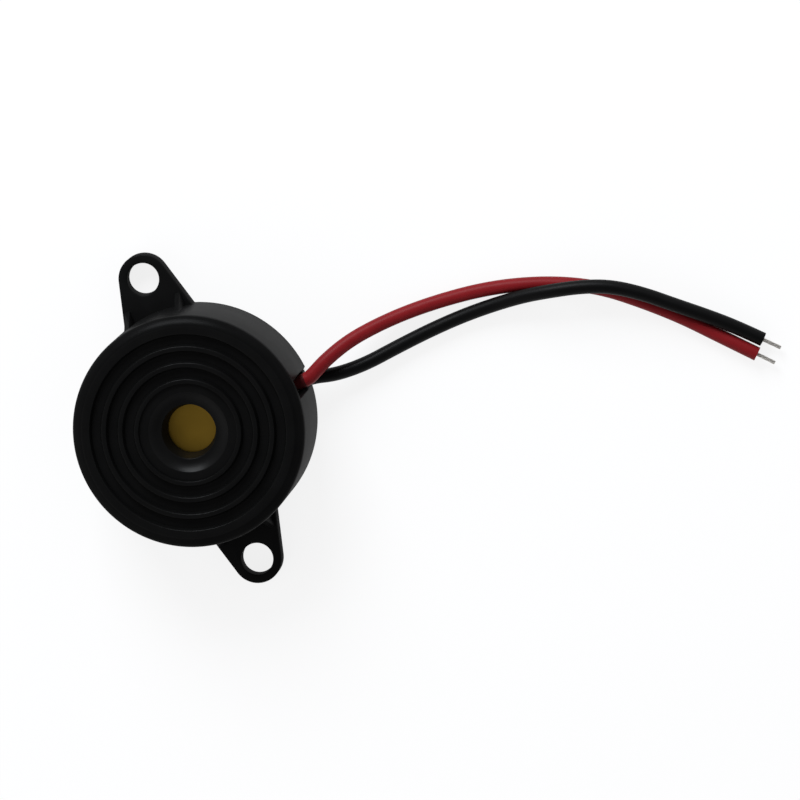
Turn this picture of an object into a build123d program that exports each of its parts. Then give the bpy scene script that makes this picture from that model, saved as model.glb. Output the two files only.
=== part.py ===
from build123d import *
from math import cos, radians, sin, sqrt, tan

# Piezo buzzer: a round moulded case with a grooved sound face, two mounting ears and two flying leads.
# Millimetres. The origin is the middle of the rear face, +Z leaves the sound face,
# +Y points at one ear and +X at the lead slot. The buzzer lies on its rear face.

# Case
case_diameter = 23.0
case_height = 10.0
face_chamfer_width = 0.75
face_chamfer_height = 0.62
face_edge_fillet = 0.5
rim_chamfer = 0.25
board_wall = 1.0
element_wall = 1.45
cavity_wall = 2.2
cut_overrun = 1.0

# Sound hole and the rings of the face
funnel_mouth_diameter = 7.9
funnel_step_width = 0.9
funnel_step_depth = 0.3
funnel_foot_diameter = 6.5
funnel_depth = 0.85
throat_diameter = 5.4
throat_length = 1.55
neck_mouth_diameter = 4.7
neck_wall = 0.8
neck_gap = 0.3
first_groove_radius = 5.86
groove_pitch = 1.63
groove_outer_land = 1.63
groove_width = 1.2
groove_floor_width = 0.85
groove_depth = 0.6

# Mounting ears, their length measured from the wall of the case to the middle of the hole
ear_length = 3.5
hole_diameter = 3.2
ear_tip_diameter = 4.9
ear_root_width = 7.3
ear_thickness = 1.8
ear_edge_radius = 0.15
gusset_thickness = 0.55
gusset_inset = 0.2
gusset_hole_gap = 2.45
gusset_rise = 4.5

# Lead slot in the wall
lead_diameter = 1.4
lead_clearance = 0.1
slot_depth = 1.1
slot_flare = 0.25
slot_head = 0.4

# Sounding element
cavity_height = 0.9
brass_clearance = 0.05
brass_thickness = 0.2
brass_rim_width = 3.0
ceramic_thickness = 0.22
adhesive_width = 0.75
adhesive_height = 0.6

# Driver board and rear cover
element_room = 1.4
board_thickness = 0.8
board_clearance = 0.1
cover_thickness = 1.1
cover_clearance = 0.05
cover_edge_chamfer = 0.2
peg_diameter = 1.8
peg_count = 3
peg_first_angle = 60.0
peg_circle_share = 0.8

# Parts on the board
coil_diameter = 5.6
coil_height = 2.5
coil_flange = 0.45
coil_post_diameter = 2.4
coil_winding_inset = 0.25
coil_terminal_thickness = 0.2
coil_terminal_width = 1.2
coil_place_shares = (-0.2, 0.0)
transistor_length = 2.9
transistor_width = 1.3
transistor_height = 1.0
transistor_standoff = 0.08
transistor_edge = 0.15
transistor_place_shares = (0.1, -0.42)
leg_width = 0.4
leg_thickness = 0.14
leg_root_height = 0.5
leg_shoulder = 0.3
leg_reach = 0.6
leg_pitch = 1.9
resistor_length = 2.0
resistor_width = 1.25
resistor_height = 0.5
resistor_cap_length = 0.4
resistor_cap_skin = 0.06
resistor_place_shares = {
    "base_resistor": (-0.42, -0.38),
    "feedback_resistor": (-0.05, 0.42),
    "load_resistor": (0.36, 0.42),
}

# Solder and wiring
solder_diameter = 1.3
solder_crown_diameter = 0.8
solder_height = 0.3
wire_diameter = 0.4
wire_bend_share = 0.75
core_diameter = 0.5
core_bend_share = 0.8
red_pad_inset = 1.8
black_pad_inset = 3.4
sealant_length = 0.8
sealant_width = 2.8

# Flying leads: each route runs from the stripped inner end, out of the slot, to the free end,
# with X measured from the floor of the slot
tip_diameter = 0.5
tip_length = 1.9
arc_share = 0.45
red_route = [
    (-1.0, 0.0, 3.35),
    (1.35, 0.0, 3.35),
    (2.1, 0.3, 3.32),
    (3.8, 1.15, 3.1),
    (6.5, 2.0, 2.35),
    (9.5, 2.35, 1.45),
    (12.9, 2.45, 0.85),
    (16.9, 2.25, 0.72),
    (20.9, 1.75, 0.72),
    (24.7, 0.8, 0.72),
    (28.3, -0.55, 0.72),
    (31.6, -2.35, 0.72),
    (34.8, -5.0, 0.72),
    (37.8, -7.8, 0.72),
    (40.6, -10.9, 0.72),
    (43.3, -13.85, 0.72),
]
black_route = [
    (-1.0, 0.0, 1.85),
    (1.5, 0.0, 1.85),
    (3.8, -0.7, 1.6),
    (6.9, -0.85, 1.1),
    (10.3, -0.45, 0.78),
    (14.0, -0.08, 0.72),
    (17.6, 0.1, 0.72),
    (21.0, 0.05, 1.0),
    (24.2, -0.15, 1.7),
    (27.2, -0.65, 2.35),
    (30.0, -1.3, 2.45),
    (32.6, -2.3, 2.35),
    (35.2, -4.1, 2.1),
    (37.8, -6.4, 1.85),
    (40.2, -8.5, 1.45),
    (42.4, -10.6, 0.95),
    (44.35, -12.7, 0.72),
]

# Levels and radii that follow from those sizes
case_radius = case_diameter / 2
face_edge_radius = case_radius - face_chamfer_width
chamfer_foot_z = case_height - face_chamfer_height
board_bore_radius = case_radius - board_wall
element_bore_radius = case_radius - element_wall
cavity_radius = case_radius - cavity_wall
hole_pitch = case_diameter + 2 * ear_length
brass_radius = element_bore_radius - brass_clearance
ceramic_radius = brass_radius - brass_rim_width
adhesive_inner_radius = element_bore_radius - adhesive_width
funnel_mouth_radius = funnel_mouth_diameter / 2
funnel_step_z = case_height - funnel_step_depth
funnel_foot_z = case_height - funnel_depth
front_wall_z = funnel_foot_z - throat_length
brass_front_z = front_wall_z - cavity_height
throat_radius = throat_diameter / 2
neck_mouth_radius = neck_mouth_diameter / 2
neck_radius = neck_mouth_radius + neck_wall
neck_end_z = brass_front_z + neck_gap
brass_rear_z = brass_front_z - brass_thickness
ceramic_rear_z = brass_rear_z - ceramic_thickness
board_front_z = ceramic_rear_z - element_room
board_rear_z = board_front_z - board_thickness
board_radius = board_bore_radius - board_clearance
lead_radius = lead_diameter / 2
slot_width = lead_diameter + 2 * lead_clearance
slot_floor_x = case_radius - slot_depth
solder_crown_z = board_front_z + solder_height
core_end_z = board_rear_z - solder_height


def turned_face(points):
    """Sketch face in the XZ plane from radius and height pairs."""
    with BuildSketch(Plane.XZ) as section:
        with BuildLine():
            Polyline(*points, close=True)
        make_face()
    return section.sketch


def radial_plane(angle):
    """Upright plane through the Z axis whose first axis points along the given angle."""
    across = (cos(radians(angle)), sin(radians(angle)), 0)
    normal = (sin(radians(angle)), -cos(radians(angle)), 0)
    return Plane(origin=(0, 0, 0), x_dir=across, z_dir=normal)


def save(piece, name):
    """Label a finished piece and write it as its own file."""
    piece.part.label = name
    export_step(piece.part, f"parts/{name}.step")


# Housing: case, ears and gussets moulded in one, then hollowed from the rear
ear_root_y = sqrt(case_radius**2 - (ear_root_width / 2) ** 2)
gusset_end_y = hole_pitch / 2 - gusset_hole_gap
ear_taper = (ear_root_width - ear_tip_diameter) / 2 / (hole_pitch / 2 - ear_root_y)
gusset_outer_x = ear_root_width / 2 - ear_taper * (gusset_end_y - ear_root_y) - gusset_inset
gusset_x = gusset_outer_x - gusset_thickness / 2
gusset_wall_y = sqrt(case_radius**2 - gusset_x**2)
with BuildPart() as housing:
    with BuildSketch():
        with Locations((0, hole_pitch / 2)):
            Circle(ear_tip_diameter / 2)
        with Locations((0, ear_root_y - board_wall / 2)):
            Rectangle(ear_root_width, board_wall)
        make_hull()
    extrude(amount=ear_thickness)
    fillet(housing.faces().sort_by(Axis.Z)[-1].edges(), ear_edge_radius)
    for side in (-1, 1):
        with BuildSketch(Plane.YZ.offset(side * gusset_x)):
            with BuildLine():
                Polyline(
                    (gusset_wall_y - board_wall / 2, ear_thickness - ear_edge_radius),
                    (gusset_end_y, ear_thickness - ear_edge_radius),
                    (gusset_end_y, ear_thickness),
                    (gusset_wall_y, ear_thickness + gusset_rise),
                    (gusset_wall_y - board_wall / 2, ear_thickness + gusset_rise),
                    close=True,
                )
            make_face()
        extrude(amount=gusset_thickness / 2, both=True)
    mirror(about=Plane.XZ)
    add(
        turned_face(
            [
                (0, 0),
                (case_radius, 0),
                (case_radius, chamfer_foot_z),
                (face_edge_radius, case_height),
                (0, case_height),
            ]
        )
    )
    revolve(axis=Axis.Z)
    round_edges = housing.edges().filter_by(GeomType.CIRCLE)
    fillet(round_edges.filter_by_position(Axis.Z, chamfer_foot_z, case_height), face_edge_fillet)
    # Stepped bore for cover and board, element and front cavity, then the tapered throat and its funnel
    add(
        turned_face(
            [
                (0, 0),
                (board_bore_radius + rim_chamfer, 0),
                (board_bore_radius, rim_chamfer),
                (board_bore_radius, board_front_z),
                (element_bore_radius, board_front_z),
                (element_bore_radius, brass_front_z),
                (cavity_radius, brass_front_z),
                (cavity_radius, front_wall_z),
                (neck_radius, front_wall_z),
                (neck_radius, neck_end_z),
                (neck_mouth_radius, neck_end_z),
                (throat_radius, funnel_foot_z),
                (funnel_foot_diameter / 2, funnel_foot_z),
                (funnel_mouth_radius, funnel_step_z),
                (funnel_mouth_radius + funnel_step_width, funnel_step_z),
                (funnel_mouth_radius + funnel_step_width, case_height),
                (0, case_height),
            ]
        )
    )
    revolve(axis=Axis.Z, mode=Mode.SUBTRACT)
    groove_band = face_edge_radius - groove_outer_land - first_groove_radius
    for index in range(1 + round(groove_band / groove_pitch)):
        groove_radius = first_groove_radius + index * groove_pitch
        add(
            turned_face(
                [
                    (groove_radius - groove_width / 2, case_height),
                    (groove_radius - groove_floor_width / 2, case_height - groove_depth),
                    (groove_radius + groove_floor_width / 2, case_height - groove_depth),
                    (groove_radius + groove_width / 2, case_height),
                ]
            )
        )
        revolve(axis=Axis.Z, mode=Mode.SUBTRACT)
    # Lead slot, open to the rear and flared at the outer wall
    with BuildSketch():
        with BuildLine():
            Polyline(
                (slot_floor_x, -slot_width / 2),
                (case_radius - slot_flare, -slot_width / 2),
                (case_radius + slot_flare, -slot_width / 2 - 2 * slot_flare),
                (case_radius + slot_flare, slot_width / 2 + 2 * slot_flare),
                (case_radius - slot_flare, slot_width / 2),
                (slot_floor_x, slot_width / 2),
                close=True,
            )
        make_face()
    extrude(amount=chamfer_foot_z - slot_head, mode=Mode.SUBTRACT)
    with BuildSketch():
        with Locations((0, hole_pitch / 2), (0, -hole_pitch / 2)):
            Circle(hole_diameter / 2)
    extrude(amount=ear_thickness + cut_overrun, mode=Mode.SUBTRACT)
save(housing, "housing")

# Rear cover: a pressed-in disc with a tongue that closes the slot and pegs that hold the board
cover_radius = board_bore_radius - cover_clearance
tongue_end_x = case_radius - slot_flare
with BuildPart() as rear_cover:
    with BuildSketch():
        Circle(cover_radius)
    extrude(amount=cover_thickness)
    chamfer(rear_cover.faces().sort_by(Axis.Z)[0].edges(), cover_edge_chamfer)
    with BuildSketch():
        with Locations((tongue_end_x / 2, 0)):
            Rectangle(tongue_end_x, slot_width - 2 * cover_clearance)
    extrude(amount=cover_thickness)
    with BuildSketch(Plane.XY.offset(cover_thickness)):
        with PolarLocations(board_radius * peg_circle_share, peg_count, start_angle=peg_first_angle):
            Circle(peg_diameter / 2)
    extrude(amount=board_rear_z - cover_thickness)
save(rear_cover, "rear_cover")

# Brass diaphragm: the sheet disc that shows in the sound hole, seated on the ledge of the case
with BuildPart() as brass_diaphragm:
    with BuildSketch(Plane.XY.offset(brass_rear_z)):
        Circle(brass_radius)
    extrude(amount=brass_thickness)
save(brass_diaphragm, "brass_diaphragm")

# Piezo ceramic disc bonded to the rear of the brass
with BuildPart() as ceramic_disc:
    with BuildSketch(Plane.XY.offset(ceramic_rear_z)):
        Circle(ceramic_radius)
    extrude(amount=ceramic_thickness)
save(ceramic_disc, "ceramic_disc")

# Silicone bead that holds the diaphragm's edge against the ledge
with BuildPart() as adhesive_ring:
    add(
        turned_face(
            [
                (adhesive_inner_radius, brass_rear_z),
                (element_bore_radius, brass_rear_z),
                (element_bore_radius, brass_rear_z - adhesive_height),
            ]
        )
    )
    revolve(axis=Axis.Z)
save(adhesive_ring, "adhesive_ring")

# Driver board, seated on the step of the bore and held there by the cover's pegs
with BuildPart() as driver_board:
    with BuildSketch(Plane.XY.offset(board_rear_z)):
        Circle(board_radius)
    extrude(amount=board_thickness)
save(driver_board, "driver_board")

# Boost coil under the board: ferrite drum, copper winding and two flat terminals
coil_x, coil_y = [share * board_radius for share in coil_place_shares]
coil_top_z = board_rear_z - coil_terminal_thickness
coil_radius = coil_diameter / 2
coil_post_radius = coil_post_diameter / 2
winding_radius = coil_radius - coil_winding_inset
with BuildPart() as coil_core:
    with Locations((coil_x, coil_y, coil_top_z - coil_height / 2)):
        Cylinder(coil_post_radius, coil_height)
    for flange_z in (coil_top_z - coil_flange / 2, coil_top_z - coil_height + coil_flange / 2):
        with Locations((coil_x, coil_y, flange_z)):
            Cylinder(coil_radius, coil_flange)
save(coil_core, "coil_core")

with BuildPart() as coil_winding:
    with BuildSketch(Plane.XY.offset(coil_top_z - coil_height + coil_flange)):
        with Locations((coil_x, coil_y)):
            Circle(winding_radius)
            Circle(coil_post_radius, mode=Mode.SUBTRACT)
    extrude(amount=coil_height - 2 * coil_flange)
save(coil_winding, "coil_winding")

with BuildPart() as coil_terminals:
    with BuildSketch(Plane.XY.offset(coil_top_z)):
        with Locations((coil_x, coil_y)):
            Circle(coil_radius)
            Rectangle(coil_diameter, coil_diameter - 2 * coil_terminal_width, mode=Mode.SUBTRACT)
    extrude(amount=coil_terminal_thickness)
save(coil_terminals, "coil_terminals")

# Switching transistor: moulded body and three bent legs on the front of the board
transistor_x, transistor_y = [share * board_radius for share in transistor_place_shares]
transistor_base_z = board_front_z + transistor_standoff
with BuildPart() as transistor_body:
    with BuildSketch(Plane.XY.offset(transistor_base_z)):
        with Locations((transistor_x, transistor_y)):
            Rectangle(transistor_length, transistor_width)
    extrude(amount=transistor_height)
    chamfer(transistor_body.faces().sort_by(Axis.Z)[-1].edges(), transistor_edge)
save(transistor_body, "transistor_body")

with BuildPart() as transistor_legs:
    for side, leg_x in ((-1, -leg_pitch / 2), (-1, leg_pitch / 2), (1, 0)):
        leg_root_y = transistor_y + side * transistor_width / 2
        with BuildSketch(Plane.YZ.offset(transistor_x + leg_x)):
            with BuildLine():
                Polyline(
                    (leg_root_y, board_front_z + leg_root_height),
                    (leg_root_y, board_front_z + leg_root_height + leg_thickness),
                    (leg_root_y + side * leg_shoulder, board_front_z + leg_root_height + leg_thickness),
                    (leg_root_y + side * leg_shoulder, board_front_z + leg_thickness),
                    (leg_root_y + side * leg_reach, board_front_z + leg_thickness),
                    (leg_root_y + side * leg_reach, board_front_z),
                    (leg_root_y + side * (leg_shoulder - leg_thickness), board_front_z),
                    (leg_root_y + side * (leg_shoulder - leg_thickness), board_front_z + leg_root_height),
                    close=True,
                )
            make_face()
        extrude(amount=leg_width / 2, both=True)
save(transistor_legs, "transistor_legs")

# Chip resistors: a ceramic body each, and the plated caps on both ends of all of them
resistor_mid_z = board_front_z + resistor_height / 2
body_size = (
    resistor_length - 2 * resistor_cap_skin,
    resistor_width - 2 * resistor_cap_skin,
    resistor_height - 2 * resistor_cap_skin,
)
for name, (x_share, y_share) in resistor_place_shares.items():
    with BuildPart() as resistor:
        with Locations((x_share * board_radius, y_share * board_radius, resistor_mid_z)):
            Box(*body_size)
    save(resistor, name)

with BuildPart() as resistor_end_caps:
    for x_share, y_share in resistor_place_shares.values():
        for side in (-1, 1):
            cap_x = x_share * board_radius + side * (resistor_length - resistor_cap_length) / 2
            with Locations((cap_x, y_share * board_radius, resistor_mid_z)):
                Box(resistor_cap_length, resistor_width, resistor_height)
        with Locations((x_share * board_radius, y_share * board_radius, resistor_mid_z)):
            Box(*body_size, mode=Mode.SUBTRACT)
save(resistor_end_caps, "resistor_end_caps")

# Three fine wires from the board up to the brass, the ceramic and its feedback tab
board_pad_radius = ceramic_radius - solder_diameter
ceramic_pad_radius = board_pad_radius - 2 * solder_diameter
rim_pad_radius = (ceramic_radius + adhesive_inner_radius) / 2
wire_stations = {
    "diaphragm_wire": (135.0, rim_pad_radius, brass_rear_z),
    "ceramic_wire": (250.0, ceramic_pad_radius, ceramic_rear_z),
    "feedback_wire": (325.0, ceramic_pad_radius, ceramic_rear_z),
}
for name, (angle, element_pad_radius, element_z) in wire_stations.items():
    wire_end_z = element_z - solder_height
    wire_mid_z = (solder_crown_z + wire_end_z) / 2
    with BuildPart() as wire:
        with BuildLine(radial_plane(angle)) as wire_path:
            FilletPolyline(
                (board_pad_radius, solder_crown_z),
                (board_pad_radius, wire_mid_z),
                (element_pad_radius, wire_mid_z),
                (element_pad_radius, wire_end_z),
                radius=wire_bend_share * (wire_mid_z - solder_crown_z),
            )
        with BuildSketch(Plane(origin=wire_path.line @ 0, z_dir=wire_path.line % 0)):
            Circle(wire_diameter / 2)
        sweep()
    save(wire, name)

# Solder: a small cone at each joint, on both faces of the board and on the rear of the element
solder_radius = solder_diameter / 2
solder_crown_radius = solder_crown_diameter / 2
hung_from_top = (Align.CENTER, Align.CENTER, Align.MAX)
red_pad_x = slot_floor_x - sealant_length - red_pad_inset
black_pad_x = slot_floor_x - sealant_length - black_pad_inset
with BuildPart() as board_solder:
    for angle, element_pad_radius, element_z in wire_stations.values():
        with Locations(radial_plane(angle).from_local_coords((board_pad_radius, solder_crown_z, 0))):
            Cone(solder_radius, solder_crown_radius, solder_height, align=hung_from_top)
    with Locations((red_pad_x, 0, board_rear_z), (black_pad_x, 0, board_rear_z)):
        Cone(solder_crown_radius, solder_radius, solder_height, align=hung_from_top)
save(board_solder, "board_solder")

with BuildPart() as element_solder:
    for angle, element_pad_radius, element_z in wire_stations.values():
        with Locations(radial_plane(angle).from_local_coords((element_pad_radius, element_z, 0))):
            Cone(solder_crown_radius, solder_radius, solder_height, align=hung_from_top)
save(element_solder, "element_solder")

# Sealant plug behind the slot, cast round both leads between the cover and the board
with BuildPart() as lead_sealant:
    with BuildSketch(Plane.XY.offset(cover_thickness)):
        Circle(cover_radius)
        with Locations((slot_floor_x - sealant_length / 2, 0)):
            Rectangle(sealant_length, sealant_width, mode=Mode.INTERSECT)
    extrude(amount=board_rear_z - cover_thickness)
    for start_x, start_y, exit_height in (red_route[0], black_route[0]):
        with BuildSketch(Plane.YZ.offset(slot_floor_x - sealant_length)):
            with Locations((start_y, exit_height)):
                Circle(lead_radius)
        extrude(amount=sealant_length, mode=Mode.SUBTRACT)
save(lead_sealant, "lead_sealant")


# Flying leads: insulation along each route, stripped cores inside and tinned tips outside
def arc_radii(route):
    """Largest tangent arc for each corner of a route, from its shorter run and its turn."""
    points = [Vector(*point) for point in route]
    radii = []
    for before, corner, after in zip(points, points[1:], points[2:]):
        run = min((corner - before).length, (after - corner).length)
        turn = (corner - before).get_angle(after - corner)
        radii.append(arc_share * run / tan(radians(turn / 2)))
    return radii


lead_routes = {"red_lead": (red_route, red_pad_x), "black_lead": (black_route, black_pad_x)}
for name, (slot_route, pad_x) in lead_routes.items():
    route = [(slot_floor_x + x, y, z) for x, y, z in slot_route]
    radii = arc_radii(route)
    print(name, "arc radii", [round(radius, 1) for radius in radii])
    end_run = Vector(*route[-1]) - Vector(*route[-2])
    exit_height = route[0][2]
    with BuildPart() as lead:
        with BuildLine():
            FilletPolyline(*route, radius=radii)
        with BuildSketch(Plane(origin=route[0], z_dir=(1, 0, 0))):
            Circle(lead_radius)
        sweep()
    save(lead, name)
    with BuildPart() as lead_tip:
        with BuildSketch(Plane(origin=route[-1], z_dir=end_run)):
            Circle(tip_diameter / 2)
        extrude(amount=tip_length)
    save(lead_tip, f"{name}_tip")
    with BuildPart() as lead_core:
        with BuildLine():
            FilletPolyline(
                route[0],
                (pad_x, 0, exit_height),
                (pad_x, 0, core_end_z),
                radius=core_bend_share * min(route[0][0] - pad_x, core_end_z - exit_height),
            )
        with BuildSketch(Plane(origin=route[0], z_dir=(-1, 0, 0))):
            Circle(core_diameter / 2)
        sweep()
    save(lead_core, f"{name}_core_end")
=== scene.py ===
import math

import bmesh
import bpy
from mathutils import Matrix, Vector


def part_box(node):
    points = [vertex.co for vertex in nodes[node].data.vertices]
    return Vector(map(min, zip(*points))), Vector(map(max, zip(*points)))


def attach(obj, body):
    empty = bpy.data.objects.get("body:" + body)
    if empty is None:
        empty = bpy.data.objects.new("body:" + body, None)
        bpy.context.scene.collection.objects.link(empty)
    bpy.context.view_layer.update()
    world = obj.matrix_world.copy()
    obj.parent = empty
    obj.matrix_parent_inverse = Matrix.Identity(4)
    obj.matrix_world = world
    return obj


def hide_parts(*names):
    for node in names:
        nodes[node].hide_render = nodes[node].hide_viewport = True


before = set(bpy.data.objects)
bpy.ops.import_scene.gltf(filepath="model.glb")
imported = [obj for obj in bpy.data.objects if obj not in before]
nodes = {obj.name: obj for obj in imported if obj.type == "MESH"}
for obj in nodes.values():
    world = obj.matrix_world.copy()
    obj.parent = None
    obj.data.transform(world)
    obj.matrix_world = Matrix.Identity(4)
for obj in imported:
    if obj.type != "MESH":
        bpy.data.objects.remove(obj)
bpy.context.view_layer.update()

# Housing: the case with its grooved sound face, both ears and their gussets, injection moulded as one
# piece of black plastic. The tool is polished at the face and the wall and spark-eroded at the rim and
# the ears, and the leads come out of a slot that runs up one side of the wall.
housing_low, housing_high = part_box("housing")
case_radius = -housing_low.x
case_height = housing_high.z
case_sides = 192
chamfer_width = 0.00075
chamfer_height = 0.00062
face_edge_offset = 0.00040
chamfer_foot_offset = 0.00040
rim_segments = 6
bore_wall = 0.0010
element_wall = 0.00145
cavity_wall = 0.0022
rim_chamfer = 0.00025
funnel_mouth_radius = 0.00395
funnel_step_width = 0.0009
funnel_step_depth = 0.0003
funnel_foot_radius = 0.00325
funnel_depth = 0.00085
throat_radius = 0.0027
throat_length = 0.00155
neck_mouth_radius = 0.00235
neck_wall = 0.0008
neck_gap = 0.0003
groove_radii = (0.00912, 0.00749, 0.00586)
groove_width = 0.0012
groove_floor_width = 0.00085
groove_depth = 0.0006
case_edge_offset = 0.00006
case_edge_segments = 4
sharp_angle = math.radians(20)
smooth_angle = math.radians(40)
same_place = 1e-6
least_edge = 1e-7
facing = 0.9

chamfer_foot = case_height - chamfer_height
face_edge = case_radius - chamfer_width
mouth_edge = funnel_mouth_radius + funnel_step_width
step_level = case_height - funnel_step_depth
funnel_foot = case_height - funnel_depth
front_wall = funnel_foot - throat_length
bore_radius = case_radius - bore_wall
element_radius = case_radius - element_wall
cavity_radius = case_radius - cavity_wall
board_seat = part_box("driver_board")[1].z
element_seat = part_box("brass_diaphragm")[1].z


def select(piece, kind, wanted):
    """In edit mode, select only those faces, edges or corners of a piece that pass a test."""
    bpy.ops.mesh.select_mode(type=kind)
    bpy.ops.mesh.select_all(action="DESELECT")
    shape = bmesh.from_edit_mesh(piece.data)
    for part in {"FACE": shape.faces, "EDGE": shape.edges, "VERT": shape.verts}[kind]:
        part.select_set(wanted(part))
    bmesh.update_edit_mesh(piece.data)


def extrude_rings(rings):
    """Extrude the selected round cap from each ring of radius and level to the next."""
    for (old_radius, old_level), (radius, level) in zip(rings, rings[1:]):
        bpy.ops.mesh.extrude_region_move(TRANSFORM_OT_translate={"value": (0, 0, level - old_level)})
        change = radius / old_radius
        bpy.ops.transform.resize(value=(change, change, 1), center_override=(0, 0, level))


front_rings = [(case_radius, chamfer_foot), (face_edge, case_height)]
for groove_radius in groove_radii:
    front_rings += [
        (groove_radius + groove_width / 2, case_height),
        (groove_radius + groove_floor_width / 2, case_height - groove_depth),
        (groove_radius - groove_floor_width / 2, case_height - groove_depth),
        (groove_radius - groove_width / 2, case_height),
    ]
front_rings += [
    (mouth_edge, case_height),
    (mouth_edge, step_level),
    (funnel_mouth_radius, step_level),
    (funnel_foot_radius, funnel_foot),
    (throat_radius, funnel_foot),
]
rear_rings = [
    (case_radius, 0),
    (bore_radius + rim_chamfer, 0),
    (bore_radius, rim_chamfer),
    (bore_radius, board_seat),
    (element_radius, board_seat),
    (element_radius, element_seat),
    (cavity_radius, element_seat),
    (cavity_radius, front_wall),
    (neck_mouth_radius + neck_wall, front_wall),
    (neck_mouth_radius + neck_wall, element_seat + neck_gap),
    (neck_mouth_radius, element_seat + neck_gap),
]
bpy.ops.object.select_all(action="DESELECT")
bpy.ops.mesh.primitive_cylinder_add(
    vertices=case_sides, radius=case_radius, depth=chamfer_foot, location=(0, 0, chamfer_foot / 2)
)
case = bpy.context.object
case.name = "moulded_case"
bpy.ops.object.transform_apply()
bpy.ops.object.mode_set(mode="EDIT")
select(case, "FACE", lambda face: face.normal.z > facing)
extrude_rings(front_rings)
select(case, "FACE", lambda face: face.normal.z < -facing and face.calc_center_median().z < rim_chamfer)
extrude_rings(rear_rings)
select(case, "FACE", lambda face: len(face.verts) == case_sides)
bpy.ops.mesh.delete(type="ONLY_FACE")
bpy.ops.mesh.select_mode(type="EDGE")
bpy.ops.mesh.select_non_manifold()
bpy.ops.mesh.bridge_edge_loops()
bpy.ops.mesh.select_mode(type="FACE")
bpy.ops.mesh.select_all(action="SELECT")
bpy.ops.mesh.normals_make_consistent()
select(
    case,
    "EDGE",
    lambda edge: all(
        corner.co.z > chamfer_foot and abs(corner.co.xy.length - face_edge) < same_place
        for corner in edge.verts
    ),
)
bpy.ops.mesh.bevel(offset=face_edge_offset, segments=rim_segments, affect="EDGES")
select(
    case,
    "EDGE",
    lambda edge: all(abs(corner.co.z - chamfer_foot) < same_place for corner in edge.verts),
)
bpy.ops.mesh.bevel(offset=chamfer_foot_offset, segments=rim_segments, affect="EDGES")
select(case, "EDGE", lambda edge: edge.is_convex and edge.calc_face_angle() > sharp_angle)
bpy.ops.mesh.bevel(offset=case_edge_offset, segments=case_edge_segments, affect="EDGES")
bpy.ops.object.mode_set(mode="OBJECT")

# One ear is the hull of its round tip and its root in the wall, drilled, with two gussets.
ear_tip_radius = 0.00245
ear_root_width = 0.0073
ear_root_depth = 0.0002
ear_thickness = 0.0018
ear_sides = 96
ear_flat_angle = math.radians(1)
ear_edge_radius = 0.00013
ear_edge_angle = math.radians(60)
hole_radius = 0.0016
gusset_thickness = 0.00055
gusset_middle = 0.00269
gusset_hole_gap = 0.00245
gusset_rise = 0.0045
gusset_root = 0.0003
gusset_end_height = 0.00012
gusset_edge_radius = 0.00008
gusset_edge_angle = math.radians(30)
small_edge_segments = 3
cut_overrun = 0.0010

hole_reach = housing_high.y - ear_tip_radius
ear_root = math.sqrt(case_radius**2 - (ear_root_width / 2) ** 2)
gusset_wall = math.sqrt(case_radius**2 - gusset_middle**2)
gusset_end = hole_reach - gusset_hole_gap
gusset_length = gusset_end - gusset_wall + gusset_root
gusset_height = gusset_rise + gusset_root


def round_edges(piece, radius, angle):
    """Round every edge of a piece that is sharper than an angle."""
    bevel = piece.modifiers.new("round_edges", "BEVEL")
    bevel.limit_method = "ANGLE"
    bevel.angle_limit = angle
    bevel.width = radius
    bevel.segments = small_edge_segments
    bpy.context.view_layer.objects.active = piece
    bpy.ops.object.modifier_apply(modifier=bevel.name)


def combine(piece, other, operation):
    """Join another mesh to a piece or cut it away, and drop the other mesh."""
    step = piece.modifiers.new("combine", "BOOLEAN")
    step.operation = operation
    step.solver = "EXACT"
    step.object = other
    bpy.context.view_layer.objects.active = piece
    bpy.ops.object.modifier_apply(modifier=step.name)
    bpy.data.objects.remove(other)


bpy.ops.object.select_all(action="DESELECT")
bpy.ops.mesh.primitive_cylinder_add(
    vertices=ear_sides,
    radius=ear_tip_radius,
    depth=ear_thickness,
    location=(0, hole_reach, ear_thickness / 2),
)
ear = bpy.context.object
bpy.ops.object.transform_apply()
bpy.ops.object.mode_set(mode="EDIT")
bpy.ops.mesh.primitive_cube_add(
    size=1,
    location=(0, ear_root - ear_root_depth / 2, ear_thickness / 2),
    scale=(ear_root_width, ear_root_depth, ear_thickness),
)
bpy.ops.mesh.select_all(action="SELECT")
bpy.ops.mesh.convex_hull()
bpy.ops.mesh.select_all(action="SELECT")
bpy.ops.mesh.dissolve_limited(angle_limit=ear_flat_angle)
bpy.ops.object.mode_set(mode="OBJECT")
bpy.ops.mesh.primitive_cylinder_add(
    vertices=ear_sides,
    radius=hole_radius,
    depth=ear_thickness + 2 * cut_overrun,
    location=(0, hole_reach, ear_thickness / 2),
)
combine(ear, bpy.context.object, "DIFFERENCE")
round_edges(ear, ear_edge_radius, ear_edge_angle)
for side in (-1, 1):
    bpy.ops.object.select_all(action="DESELECT")
    bpy.ops.mesh.primitive_cube_add(
        size=1,
        location=(
            side * gusset_middle,
            gusset_end - gusset_length / 2,
            ear_thickness + gusset_rise - gusset_height / 2,
        ),
        scale=(gusset_thickness, gusset_length, gusset_height),
    )
    gusset = bpy.context.object
    bpy.ops.object.transform_apply()
    bpy.ops.object.mode_set(mode="EDIT")
    select(
        gusset,
        "VERT",
        lambda corner: corner.co.y > gusset_end - gusset_root and corner.co.z > ear_thickness,
    )
    bpy.ops.transform.translate(value=(0, 0, gusset_end_height - gusset_rise))
    bpy.ops.object.mode_set(mode="OBJECT")
    round_edges(gusset, gusset_edge_radius, gusset_edge_angle)
    combine(ear, gusset, "UNION")
bpy.ops.object.select_all(action="DESELECT")
ear.select_set(True)
bpy.context.view_layer.objects.active = ear
bpy.ops.object.duplicate()
far_ear = bpy.context.object
far_ear.rotation_euler.z = math.pi
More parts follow.
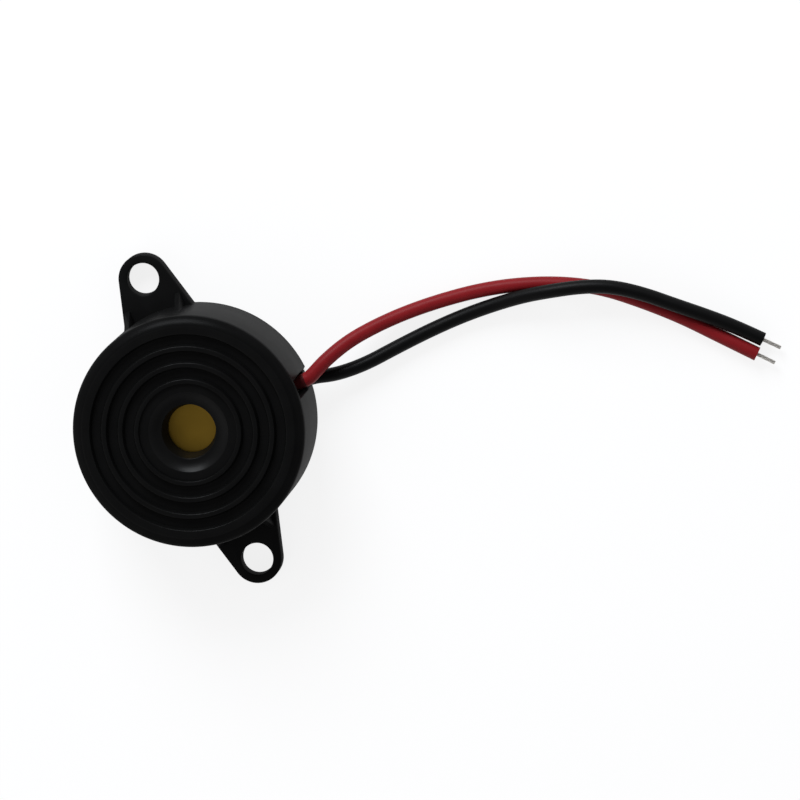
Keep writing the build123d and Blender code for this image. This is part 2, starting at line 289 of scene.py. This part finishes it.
bpy.ops.object.transform_apply()
combine(case, ear, "UNION")
combine(case, far_ear, "UNION")

# The slot's cutter has straight sides that open out at the wall's outer face.
slot_depth = 0.0011
slot_width = 0.0016
slot_flare = 0.00025
slot_head = 0.0004
slot_floor = case_radius - slot_depth
slot_top = chamfer_foot - slot_head
flare_start = case_radius - slot_flare
bpy.ops.object.select_all(action="DESELECT")
bpy.ops.mesh.primitive_cube_add(
    size=1,
    location=((slot_floor + flare_start) / 2, 0, (slot_top - cut_overrun) / 2),
    scale=(flare_start - slot_floor, slot_width, slot_top + cut_overrun),
)
slot_cutter = bpy.context.object
bpy.ops.object.transform_apply()
bpy.ops.object.mode_set(mode="EDIT")
select(slot_cutter, "FACE", lambda face: face.normal.x > facing)
bpy.ops.mesh.extrude_region_move(TRANSFORM_OT_translate={"value": (2 * slot_flare, 0, 0)})
bpy.ops.transform.resize(value=(1, 1 + 4 * slot_flare / slot_width, 1), center_override=(0, 0, 0))
bpy.ops.object.mode_set(mode="OBJECT")
combine(case, slot_cutter, "DIFFERENCE")
bpy.ops.object.select_all(action="DESELECT")
case.select_set(True)
bpy.context.view_layer.objects.active = case
bpy.ops.object.mode_set(mode="EDIT")
bpy.ops.mesh.select_all(action="SELECT")
bpy.ops.mesh.dissolve_degenerate(threshold=least_edge)
bpy.ops.object.mode_set(mode="OBJECT")
bpy.ops.object.shade_smooth_by_angle(angle=smooth_angle)


class Signal:
    """A shader socket that takes part in plain arithmetic, where each operation adds a Math node."""

    def __init__(self, finish, socket):
        self.finish = finish
        self.socket = socket

    def maths(self, operation, *terms):
        return self.finish.node("ShaderNodeMath", {"operation": operation}, dict(enumerate(terms)))

    def __add__(self, other):
        return self.maths("ADD", self, other)

    def __sub__(self, other):
        return self.maths("SUBTRACT", self, other)

    def __rsub__(self, other):
        return self.maths("SUBTRACT", other, self)

    def __mul__(self, other):
        return self.maths("MULTIPLY", self, other)

    __radd__ = __add__
    __rmul__ = __mul__

    def root(self):
        return self.maths("SQRT", self)

    def above(self, limit):
        return self.maths("GREATER_THAN", self, limit)

    def band(self, middle, half_width):
        return self.maths("COMPARE", self, middle, half_width)


class NodeTree:
    """A shader's node tree, which grows one fed node at a time."""

    def __init__(self, tree):
        self.tree = tree

    def feed(self, socket, value):
        if isinstance(value, Signal):
            self.tree.links.new(value.socket, socket)
        elif isinstance(value, tuple) and len(value) == 3 and len(socket.default_value) == 4:
            socket.default_value = (*value, 1)
        else:
            socket.default_value = value

    def node(self, kind, settings, sockets, output=0):
        """Add one node, make its settings, then feed its sockets, and give back one of its outputs."""
        made = self.tree.nodes.new(kind)
        for setting, value in settings.items():
            setattr(made, setting, value)
        for socket, value in sockets.items():
            self.feed(made.inputs[socket], value)
        return Signal(self, made.outputs[output])


class Finish(NodeTree):
    """A procedural material: its surface shader and the patterns that feed it, in metres."""

    wave_period = 0.314

    def __init__(self, name, **surface):
        self.material = bpy.data.materials.new(name)
        self.material.use_nodes = True
        super().__init__(self.material.node_tree)
        self.surface = self.tree.nodes["Principled BSDF"]
        self.place = self.node("ShaderNodeTexCoord", {}, {}, "Object")
        for socket, value in surface.items():
            self.put(socket.replace("_", " "), value)

    def along(self, axis):
        return self.node("ShaderNodeSeparateXYZ", {}, {0: self.place}, axis)

    def reach(self):
        """The distance from the Z axis."""
        x = self.along("X")
        y = self.along("Y")
        return (x * x + y * y).root()

    def noise(self, size, detail=3.0, stretch=(1, 1, 1)):
        """Soft noise with features of about the given size, drawn out along an axis if asked."""
        drawn = self.node(
            "ShaderNodeMapping", {"vector_type": "TEXTURE"}, {"Vector": self.place, "Scale": stretch}
        )
        return self.node("ShaderNodeTexNoise", {}, {"Vector": drawn, "Scale": 1 / size, "Detail": detail})

    def bands(self, pitch, distortion=0.0):
        """Soft bands across the Z axis, one for each pitch."""
        return self.node(
            "ShaderNodeTexWave",
            {"bands_direction": "Z"},
            {"Vector": self.place, "Scale": self.wave_period / pitch, "Distortion": distortion},
        )

    def between(self, share, first, second):
        """A colour between two others."""
        return self.node(
            "ShaderNodeMix", {"data_type": "RGBA"}, {"Factor": share, 6: first, 7: second}, 2
        )

    def put(self, name, value):
        """Feed one input of the surface shader."""
        self.feed(self.surface.inputs[name], value)

    def colour(self, share, first, second):
        self.put("Base Color", self.between(share, first, second))

    def roughness(self, value):
        self.put("Roughness", value)

    def relief(self, height, depth):
        """Bump the surface by a height signal over a real depth."""
        self.put("Normal", self.node("ShaderNodeBump", {}, {"Height": height, "Distance": depth}, "Normal"))


def dress(node, finish):
    """Give a solid of the frame, or a new piece, its one material."""
    node.data.materials.clear()
    node.data.materials.append(finish.material)


face_dark = (0.0027, 0.0027, 0.0027)
face_light = (0.0045, 0.0045, 0.0045)
side_dark = (0.0045, 0.0045, 0.0045)
side_light = (0.0072, 0.0072, 0.0072)
case_gloss = 0.0005
case_rough = 0.45
face_polish = 0.16
wall_polish = 0.165
textured_polish = 0.06
polish_rough = 0.32
polish_low = 0.85
polish_spread = 0.3
grain_size = 0.00009
grain_depth = 0.000006
cloud_size = 0.0022
wall_inset = 0.00008
ear_outset = 0.00003
rim_reach = face_edge - face_edge_offset / 2
case_plastic = Finish("case_plastic", Specular_IOR_Level=case_gloss, Coat_Roughness=polish_rough)
grain = case_plastic.noise(grain_size)
cloud = case_plastic.noise(cloud_size, 4.0)
case_plastic.roughness(case_rough + grain * 0.12 + cloud * 0.08)
case_plastic.relief(grain + cloud * 0.3, grain_depth)
case_reach = case_plastic.reach()
on_rim = case_reach.above(rim_reach)
on_wall = case_reach.above(case_radius - wall_inset)
on_ear = case_reach.above(case_radius + ear_outset)
case_plastic.colour(
    on_wall,
    case_plastic.between(cloud, face_dark, face_light),
    case_plastic.between(cloud, side_dark, side_light),
)
textured = on_rim - on_wall + on_ear
polish = face_polish + on_wall * (wall_polish - face_polish)
polish = polish - textured * (polish - textured_polish)
case_plastic.put("Coat Weight", polish * (cloud * polish_spread + polish_low))
dress(case, case_plastic)
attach(case, "root")
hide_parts("housing")

# Brass diaphragm: a disc punched from hard-rolled sheet, which shows in the sound hole. Its rim lies
# on a ledge of the case, and the rolling left fine lines that run one way under a dull tarnish.
brass_dull = (0.33, 0.202, 0.027)
brass_bright = (0.41, 0.252, 0.037)
rolling_size = 0.00012
rolling_stretch = (1, 14, 1)
rolling_depth = 0.000003
tarnish_size = 0.0025
brass = Finish("diaphragm_brass", Metallic=1.0)
rolling = brass.noise(rolling_size, stretch=rolling_stretch)
tarnish = brass.noise(tarnish_size, 4.0)
brass.colour(tarnish, brass_dull, brass_bright)
brass.roughness(0.30 + rolling * 0.08 + tarnish * 0.06)
brass.relief(rolling, rolling_depth)
dress(nodes["brass_diaphragm"], brass)

# Piezo disc: a sintered ceramic wafer, ground flat and bonded to the rear of the brass. Both faces have
# fired silver up to a bare margin, and on the rear a narrow gap parts off the feedback electrode.
silver_dull = (0.50, 0.49, 0.46)
silver_bright = (0.66, 0.65, 0.61)
silver_metal = 0.85
silver_rise = 1.5
ceramic_dark = (0.44, 0.40, 0.30)
ceramic_light = (0.52, 0.47, 0.36)
firing_size = 0.0007
sinter_size = 0.00006
sinter_depth = 0.000006
bare_margin = 0.0005
tongue_half_width = 0.0016
tongue_slope = 0.7
electrode_gap = 0.00035
silver_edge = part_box("ceramic_disc")[1].x - bare_margin
ceramic = Finish("piezo_ceramic")
firing = ceramic.noise(firing_size, 4.0)
sinter = ceramic.noise(sinter_size)
across = ceramic.along("X")
down = ceramic.along("Y")
bare = ceramic.reach().above(silver_edge)
gap_line = (across + down * tongue_slope).band(tongue_half_width, electrode_gap)
parted = gap_line * (across * -tongue_slope + down).above(0)
silvered = 1 - (bare + parted).above(0.5)
ceramic.colour(
    silvered,
    ceramic.between(sinter, ceramic_dark, ceramic_light),
    ceramic.between(firing, silver_dull, silver_bright),
)
ceramic.put("Metallic", silvered * silver_metal)
ceramic.roughness(0.62 - silvered * 0.16 + firing * 0.10)
ceramic.relief(sinter + silvered * silver_rise, sinter_depth)
dress(nodes["ceramic_disc"], ceramic)

# Adhesive ring: a bead of milky silicone, laid by a needle along the diaphragm's rim. It cured soft,
# with a smooth skin and a few small waves where the needle moved on.
milk_dark = (0.54, 0.54, 0.51)
milk_light = (0.64, 0.64, 0.61)
milk_depth = 0.0008
needle_wave_size = 0.0014
needle_wave_depth = 0.00004
haze_size = 0.0004
silicone = Finish("silicone", Subsurface_Weight=0.15, Subsurface_Scale=milk_depth, Specular_IOR_Level=0.4)
needle_wave = silicone.noise(needle_wave_size, 2.0)
haze = silicone.noise(haze_size)
silicone.colour(haze, milk_dark, milk_light)
silicone.roughness(0.30 + needle_wave * 0.15)
silicone.relief(needle_wave, needle_wave_depth)
dress(nodes["adhesive_ring"], silicone)

# Driver board: a disc punched from brown paper laminate and seated on a step of the bore. Etched copper
# makes a ring and two straight tracks on each face, and the sawn edge shows the paper's layers.
board_low, board_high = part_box("driver_board")
sheet_dark = (0.20, 0.115, 0.045)
sheet_light = (0.34, 0.215, 0.095)
edge_dark = (0.17, 0.095, 0.036)
edge_light = (0.29, 0.18, 0.08)
copper_dark = (0.50, 0.23, 0.09)
copper_light = (0.60, 0.30, 0.14)
copper_metal = 0.9
copper_rise = 3.0
paper_size = 0.0003
paper_stretch = (6, 1, 1)
paper_depth = 0.00001
resin_size = 0.002
layer_pitch = 0.0001
board_skin = 0.00002
track_ring_share = 0.62
track_offset = 0.0012
track_half_width = 0.00045
laminate = Finish("board_laminate", Specular_IOR_Level=0.35)
paper = laminate.noise(paper_size, 4.0, paper_stretch)
resin = laminate.noise(resin_size)
level = laminate.along("Z")
tracks = (
    laminate.reach().band(track_ring_share * board_high.x, track_half_width)
    + laminate.along("X").band(track_offset, track_half_width)
    + laminate.along("Y").band(0, track_half_width)
)
on_face = level.above(board_high.z - board_skin) + (1 - level.above(board_low.z + board_skin))
copper = tracks.above(0.5) * on_face
sheet_colour = laminate.between(paper * 0.6 + resin * 0.4, sheet_dark, sheet_light)
edge_colour = laminate.between(laminate.bands(layer_pitch), edge_dark, edge_light)
laminate.colour(
    copper,
    laminate.between(on_face, edge_colour, sheet_colour),
    laminate.between(resin, copper_dark, copper_light),
)
laminate.put("Metallic", copper * copper_metal)
laminate.roughness(0.60 + paper * 0.12 - copper * 0.24)
laminate.relief(paper + copper * copper_rise, paper_depth)
dress(nodes["driver_board"], laminate)

# Boost coil: a pressed and fired ferrite drum, wound full of enamelled copper wire. It hangs under the
# board on two tin-plated terminals, bonded to its upper flange.
ferrite_dark = (0.030, 0.030, 0.032)
ferrite_light = (0.055, 0.054, 0.054)
press_grain_size = 0.00007
press_grain_depth = 0.00001
kiln_size = 0.0009
ferrite = Finish("ferrite", Specular_IOR_Level=0.4)
press_grain = ferrite.noise(press_grain_size)
kiln = ferrite.noise(kiln_size)
ferrite.colour(kiln, ferrite_dark, ferrite_light)
ferrite.roughness(0.50 + press_grain * 0.16)
ferrite.relief(press_grain, press_grain_depth)
dress(nodes["coil_core"], ferrite)

enamel_dark = (0.40, 0.13, 0.035)
enamel_light = (0.58, 0.23, 0.075)
varnish_size = 0.0008
turn_pitch = 0.00013
turn_depth = 0.00005
turn_waver = 0.4
enamel = Finish("enamelled_copper", Metallic=1.0, Coat_Weight=0.5, Coat_Roughness=0.15)
varnish = enamel.noise(varnish_size)
enamel.colour(varnish, enamel_dark, enamel_light)
enamel.roughness(0.26 + varnish * 0.14)
enamel.relief(enamel.bands(turn_pitch, turn_waver), turn_depth)
dress(nodes["coil_winding"], enamel)

tin_dull = (0.52, 0.52, 0.51)
tin_bright = (0.68, 0.68, 0.66)
spangle_size = 0.00035
scuff_size = 0.00008
scuff_stretch = (8, 1, 1)
scuff_depth = 0.000003
tin_plate = Finish("tinned_metal", Metallic=1.0)
spangle = tin_plate.noise(spangle_size, 2.0)
scuff = tin_plate.noise(scuff_size, stretch=scuff_stretch)
tin_plate.colour(spangle, tin_dull, tin_bright)
tin_plate.roughness(0.30 + spangle * 0.16 + scuff * 0.08)
tin_plate.relief(scuff, scuff_depth)
dress(nodes["coil_terminals"], tin_plate)

# Switching transistor: a chip in a block of moulded epoxy resin, with a fine eroded skin from its tool.
# Three legs, cut and bent from a tinned strip, hold it just clear of the board.
epoxy_dark = (0.014, 0.014, 0.015)
epoxy_light = (0.027, 0.027, 0.028)
filler_size = 0.00005
filler_depth = 0.000008
flow_size = 0.0006
epoxy = Finish("transistor_resin", Specular_IOR_Level=0.3)
filler = epoxy.noise(filler_size)
flow = epoxy.noise(flow_size)
epoxy.colour(flow, epoxy_dark, epoxy_light)
epoxy.roughness(0.52 + filler * 0.2)
epoxy.relief(filler, filler_depth)
dress(nodes["transistor_body"], epoxy)
dress(nodes["transistor_legs"], tin_plate)

# Chip resistors: slips of white alumina with a resistive film under black glaze on top. Each end is
# dipped and plated with tin, and the three lie flat on the board.
alumina_dark = (0.60, 0.59, 0.56)
alumina_light = (0.72, 0.71, 0.68)
glaze_dark = (0.012, 0.012, 0.014)
glaze_light = (0.022, 0.022, 0.025)
glaze_depth = 0.00006
fired_size = 0.00025
fired_depth = 0.000008
chip = Finish("resistor_ceramic")
glazed = chip.along("Z").above(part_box("base_resistor")[1].z - glaze_depth)
fired = chip.noise(fired_size)
chip.colour(
    glazed,
    chip.between(fired, alumina_dark, alumina_light),
    chip.between(fired, glaze_dark, glaze_light),
)
chip.roughness(0.55 - glazed * 0.33 + fired * 0.10)
chip.relief(fired, fired_depth)
for name in ("base_resistor", "feedback_resistor", "load_resistor"):
    dress(nodes[name], chip)
dress(nodes["resistor_end_caps"], tin_plate)

# Fine wires: three thin insulated wires between the board and the element, formed by hand. Their pale
# skin is extruded, with faint streaks along it.
hookup_dark = (0.47, 0.42, 0.32)
hookup_light = (0.60, 0.55, 0.44)
streak_size = 0.0003
streak_stretch = (1, 1, 5)
streak_depth = 0.000008
hookup = Finish("hookup_wire", Specular_IOR_Level=0.4)
streak = hookup.noise(streak_size, stretch=streak_stretch)
hookup.colour(streak, hookup_dark, hookup_light)
hookup.roughness(0.32 + streak * 0.14)
hookup.relief(streak, streak_depth)
for name in ("diaphragm_wire", "ceramic_wire", "feedback_wire"):
    dress(nodes[name], hookup)

# Solder: small cones of tin alloy, run by an iron over each joint. They froze bright, with a slightly
# wrinkled skin and a duller patch where the iron left.
solder_dull = (0.46, 0.46, 0.47)
solder_bright = (0.64, 0.64, 0.65)
wrinkle_size = 0.00022
wrinkle_depth = 0.00002
dull_patch_size = 0.0008
solder = Finish("solder", Metallic=1.0)
wrinkle = solder.noise(wrinkle_size)
dull_patch = solder.noise(dull_patch_size, 2.0)
solder.colour(dull_patch, solder_dull, solder_bright)
solder.roughness(0.18 + dull_patch * 0.20)
solder.relief(wrinkle, wrinkle_depth)
dress(nodes["board_solder"], solder)
dress(nodes["element_solder"], solder)

# Red and black flying leads: tin-plated copper strands in a satin PVC skin, soldered to the board and
# led out through the slot. They lie loose on the table, red over black at the slot and black over red
# further out, and end stripped.
lead_radius = 0.0007
lead_curve_steps = 10
lead_round_steps = 7
red_route = [
    (-0.0010, 0.0, 0.00335),
    (0.00135, 0.0, 0.00335),
    (0.0021, 0.0003, 0.00332),
    (0.0038, 0.00115, 0.0031),
    (0.0065, 0.0020, 0.00235),
    (0.0095, 0.00235, 0.00145),
    (0.0129, 0.00245, 0.00085),
    (0.0169, 0.00225, 0.00072),
    (0.0209, 0.00175, 0.00072),
    (0.0247, 0.0008, 0.00072),
    (0.0283, -0.00055, 0.00072),
    (0.0316, -0.00235, 0.00072),
    (0.0348, -0.0050, 0.00072),
    (0.0378, -0.0078, 0.00072),
    (0.0406, -0.0109, 0.00072),
    (0.0433, -0.01385, 0.00072),
]
black_route = [
    (-0.0010, 0.0, 0.00185),
    (0.0015, 0.0, 0.00185),
    (0.0038, -0.0007, 0.0016),
    (0.0069, -0.00085, 0.0011),
    (0.0103, -0.00045, 0.00078),
    (0.0140, -0.00008, 0.00072),
    (0.0176, 0.0001, 0.00072),
    (0.0210, 0.00005, 0.0010),
    (0.0242, -0.00015, 0.0017),
    (0.0272, -0.00065, 0.00235),
    (0.0300, -0.0013, 0.00245),
    (0.0326, -0.0023, 0.00235),
    (0.0352, -0.0041, 0.0021),
    (0.0378, -0.0064, 0.00185),
    (0.0402, -0.0085, 0.00145),
    (0.0424, -0.0106, 0.00095),
    (0.04435, -0.0127, 0.00072),
]
route_origin = Vector((slot_floor, 0, 0))
red_length = 0.0505
black_length = 0.0500
tip_length = 0.0019
tip_root = 0.0002
strand_radius = 0.000062
strand_gap = 0.000004
strand_sides = 12
strand_count = 6
strand_steps = 14
strand_twist = math.radians(150)
strand_nose_share = 0.55
strand_nose_length = strand_radius / 3


def lay_lead(name, route):
    """A round lead whose line follows the points of its route."""
    line = bpy.data.curves.new(name, "CURVE")
    line.dimensions = "3D"
    spline = line.splines.new("NURBS")
    spline.points.add(len(route) - 1)
    for point, (x, y, z) in zip(spline.points, route):
        point.co = (slot_floor + x, y, z, 1)
    spline.order_u = 3
    spline.use_endpoint_u = True
    line.resolution_u = lead_curve_steps
    line.bevel_depth = lead_radius
    line.bevel_resolution = lead_round_steps
    line.use_fill_caps = True
    lead = bpy.data.objects.new(name, line)
    bpy.context.collection.objects.link(lead)
    return lead


def spiral_strand(offset):
    """One tinned strand along Z, wound round the middle of its bundle at an offset, with a soft nose."""
    step = (tip_length + tip_root) / strand_steps
    bpy.ops.object.select_all(action="DESELECT")
    bpy.ops.mesh.primitive_circle_add(
        vertices=strand_sides, radius=strand_radius, fill_type="NGON", location=(offset, 0, -tip_root)
    )
    strand = bpy.context.object
    bpy.ops.object.transform_apply()
    bpy.ops.object.mode_set(mode="EDIT")
    bpy.ops.mesh.select_all(action="SELECT")
    for _ in range(strand_steps):
        bpy.ops.mesh.extrude_region_move(TRANSFORM_OT_translate={"value": (0, 0, step)})
        bpy.ops.transform.rotate(
            value=strand_twist / strand_steps, orient_axis="Z", center_override=(0, 0, 0)
        )
    bpy.ops.mesh.extrude_region_move(TRANSFORM_OT_translate={"value": (0, 0, strand_nose_length)})
    cap = next(face for face in bmesh.from_edit_mesh(strand.data).faces if face.select)
    bpy.ops.transform.resize(
        value=(strand_nose_share, strand_nose_share, 1), center_override=cap.calc_center_median()
    )
    bpy.ops.mesh.select_all(action="SELECT")
    bpy.ops.mesh.normals_make_consistent()
    bpy.ops.object.mode_set(mode="OBJECT")
    return strand


def strip_end(name, route):
    """The bare twisted strands at the free end of a lead."""
    end = Vector(route[-1]) + route_origin
    along = (Vector(route[-1]) - Vector(route[-2])).normalized()
    bundle = [spiral_strand(0)]
    for index in range(strand_count):
        strand = spiral_strand(2 * strand_radius + strand_gap)
        strand.rotation_euler.z = index * 2 * math.pi / strand_count
        bundle.append(strand)
    bpy.ops.object.select_all(action="DESELECT")
    for strand in bundle:
        strand.select_set(True)
    bpy.context.view_layer.objects.active = bundle[0]
    bpy.ops.object.transform_apply()
    bpy.ops.object.join()
    tip = bpy.context.object
    tip.name = name
    tip.matrix_world = Matrix.Translation(end) @ along.to_track_quat("Z", "Y").to_matrix().to_4x4()
    bpy.ops.object.transform_apply()
    bpy.ops.object.shade_smooth_by_angle(angle=smooth_angle)
    return tip


red_deep = (0.170, 0.0082, 0.0105)
red_bright = (0.222, 0.0115, 0.0145)
black_deep = (0.0020, 0.0020, 0.0020)
black_bright = (0.0034, 0.0034, 0.0035)
pvc_gloss = 0.08
patch_size = 0.0025
patch_rise = 2.0
speck_size = 0.00012
speck_depth = 0.000006
# Painted shade: inside the slot the lead skins are mixed towards near-black, standing in for the shade of
# the slot's walls.
shade_overrun = 0.0001
shade_end = case_radius + shade_overrun
shade_share = 0.76
shade_black = (0.006, 0.006, 0.006)


def pvc(name, deep, bright):
    """Satin extruded PVC, a little uneven in colour and gloss, with a painted shade that darkens it towards
    black inside the slot.
    """
    skin = Finish(name, Specular_IOR_Level=pvc_gloss)
    patch = skin.noise(patch_size)
    speck = skin.noise(speck_size)
    # Painted shade: darkens the skin where it lies inside the slot, up to just past the wall's outer face.
    slot_shade = (1 - skin.along("X").above(shade_end)) * shade_share
    skin.colour(slot_shade, skin.between(patch, deep, bright), shade_black)
    skin.roughness(0.34 + patch * 0.10 + speck * 0.06)
    skin.relief(speck + patch * patch_rise, speck_depth)
    return skin


red_pvc = pvc("red_insulation", red_deep, red_bright)
black_pvc = pvc("black_insulation", black_deep, black_bright)

strand_dull = (0.46, 0.44, 0.41)
strand_bright = (0.66, 0.64, 0.60)
tin_cloud_size = 0.0002
tin_cloud_depth = 0.000004
tinned_strands = Finish("tinned_strands", Metallic=1.0)
tin_cloud = tinned_strands.noise(tin_cloud_size)
tinned_strands.colour(tin_cloud, strand_dull, strand_bright)
tinned_strands.roughness(0.28 + tin_cloud * 0.2)
tinned_strands.relief(tin_cloud, tin_cloud_depth)

for name, route, length, skin in (
    ("red_lead", red_route, red_length, red_pvc),
    ("black_lead", black_route, black_length, black_pvc),
):
    lead = lay_lead(f"{name}_wire", route)
    dress(lead, skin)
    tip = strip_end(f"{name}_strands", route)
    dress(tip, tinned_strands)
    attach(lead, "root")
    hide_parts(name)
    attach(tip, "root")
    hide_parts(f"{name}_tip")
    dress(nodes[f"{name}_core_end"], tinned_strands)

# Lead sealant: a plug of black silicone, run in round both leads behind the slot before the cover goes
# on. It holds the leads against a pull and keeps a rubbery, slightly sunken skin.
sealant_dark = (0.012, 0.012, 0.012)
sealant_light = (0.026, 0.026, 0.026)
sink_size = 0.0010
sink_depth = 0.00004
bloom_size = 0.00015
sealant = Finish("sealant", Specular_IOR_Level=0.3)
sink = sealant.noise(sink_size, 2.0)
bloom = sealant.noise(bloom_size)
sealant.colour(bloom, sealant_dark, sealant_light)
sealant.roughness(0.42 + sink * 0.16 + bloom * 0.08)
sealant.relief(sink, sink_depth)
dress(nodes["lead_sealant"], sealant)

# Rear cover: a moulded disc of the same black plastic, pressed into the bore last. Its outer face was
# left duller by a coarser tool, and its tongue closes the slot below the leads.
cover_dark = (0.0040, 0.0040, 0.0042)
cover_light = (0.0075, 0.0075, 0.0078)
tool_grain_size = 0.00018
tool_grain_depth = 0.000015
melt_flow_size = 0.004
cover_plastic = Finish("cover_plastic", Specular_IOR_Level=0.1)
tool_grain = cover_plastic.noise(tool_grain_size, 4.0)
melt_flow = cover_plastic.noise(melt_flow_size)
cover_plastic.colour(melt_flow, cover_dark, cover_light)
cover_plastic.roughness(0.55 + tool_grain * 0.18)
cover_plastic.relief(tool_grain, tool_grain_depth)
dress(nodes["rear_cover"], cover_plastic)

# Floor, light and camera: a white table, a pale horizon that darkens overhead, a soft lamp beyond the
# upper ear with a wider and weaker one to the left, and the photograph's long lens.
floor_size = 6.0
floor_level = -0.00004
floor_colour = (0.86, 0.86, 0.87)
floor_rough = 0.9
floor_white = 1.05
floor_white_share = 0.80
bpy.ops.object.select_all(action="DESELECT")
bpy.ops.mesh.primitive_plane_add(size=floor_size, location=(0, 0, floor_level))
floor = bpy.context.object
floor.name = "floor"
table_white = Finish("table_white", Base_Color=floor_colour, Roughness=floor_rough, Specular_IOR_Level=0.0)
camera_ray, glossy_ray, clear_ray = (
    table_white.node("ShaderNodeLightPath", {}, {}, f"Is {kind} Ray")
    for kind in ("Camera", "Glossy", "Transmission")
)
white = table_white.node("ShaderNodeEmission", {}, {"Color": (1, 1, 1), "Strength": floor_white})
lit = Signal(table_white, table_white.surface.outputs[0])
white_share = (camera_ray + glossy_ray + clear_ray) * floor_white_share
shown = table_white.node("ShaderNodeMixShader", {}, {0: white_share, 1: lit, 2: white})
table_white.feed(table_white.tree.nodes["Material Output"].inputs["Surface"], shown)
dress(floor, table_white)

sky_levels = [(0.10, 0.45), (0.40, 0.80), (0.85, 0.19)]
sky_blue = 1.03
world = bpy.data.worlds.new("studio")
bpy.context.scene.world = world
world.use_nodes = True
sky = NodeTree(world.node_tree)
ray = sky.node("ShaderNodeTexCoord", {}, {}, "Generated")
ray_height = sky.node("ShaderNodeSeparateXYZ", {}, {0: ray}, "Z")
fade = sky.node("ShaderNodeValToRGB", {}, {0: ray_height})
stops = fade.socket.node.color_ramp.elements
stops.new(sky_levels[1][0])
for stop, (height, grey) in zip(stops, sky_levels):
    stop.position = height
    stop.color = (grey, grey, grey * sky_blue, 1)
sky.feed(sky.tree.nodes["Background"].inputs["Color"], fade)

lamp_distance = 0.6
main_azimuth = 86
main_elevation = 32
main_size = 0.30
main_power = 3.6
main_colour = (0.92, 0.96, 1.0)
fill_azimuth = 194
fill_elevation = 30
fill_size = 0.70
fill_power = 0.7
fill_colour = (1.0, 0.97, 0.94)
for name, azimuth, elevation, size, power, colour in (
    ("main_lamp", main_azimuth, main_elevation, main_size, main_power, main_colour),
    ("fill_lamp", fill_azimuth, fill_elevation, fill_size, fill_power, fill_colour),
):
    light = bpy.data.lights.new(name, "AREA")
    light.size = size
    light.energy = power
    light.color = colour
    lamp = bpy.data.objects.new(name, light)
    bpy.context.collection.objects.link(lamp)
    sideways = Matrix.Rotation(math.radians(azimuth), 3, "Z")
    upwards = Matrix.Rotation(-math.radians(elevation), 3, "Y")
    toward_lamp = sideways @ upwards @ Vector((1, 0, 0))
    lamp.location = toward_lamp * lamp_distance
    lamp.rotation_euler = toward_lamp.to_track_quat("Z", "Y").to_euler()
    lamp.visible_camera = False

camera_place = Vector((0.11846, 0.05521, 0.58592))
camera_right = Vector((0.92024, -0.37329, -0.11750))
camera_back = Vector((0.16646, 0.10165, 0.98079))
camera_up = camera_back.cross(camera_right)
lens_length = 272.29
film_width = 36.0
near_limit = 0.01
lens = bpy.data.cameras.new("long_lens")
lens.lens = lens_length
lens.sensor_width = film_width
lens.clip_start = near_limit
camera = bpy.data.objects.new("camera", lens)
bpy.context.collection.objects.link(camera)
camera_turn = Matrix((camera_right, camera_up, camera_back)).transposed().to_4x4()
camera.matrix_world = Matrix.Translation(camera_place) @ camera_turn
bpy.context.scene.camera = camera
bpy.context.scene.view_settings.view_transform = "Standard"
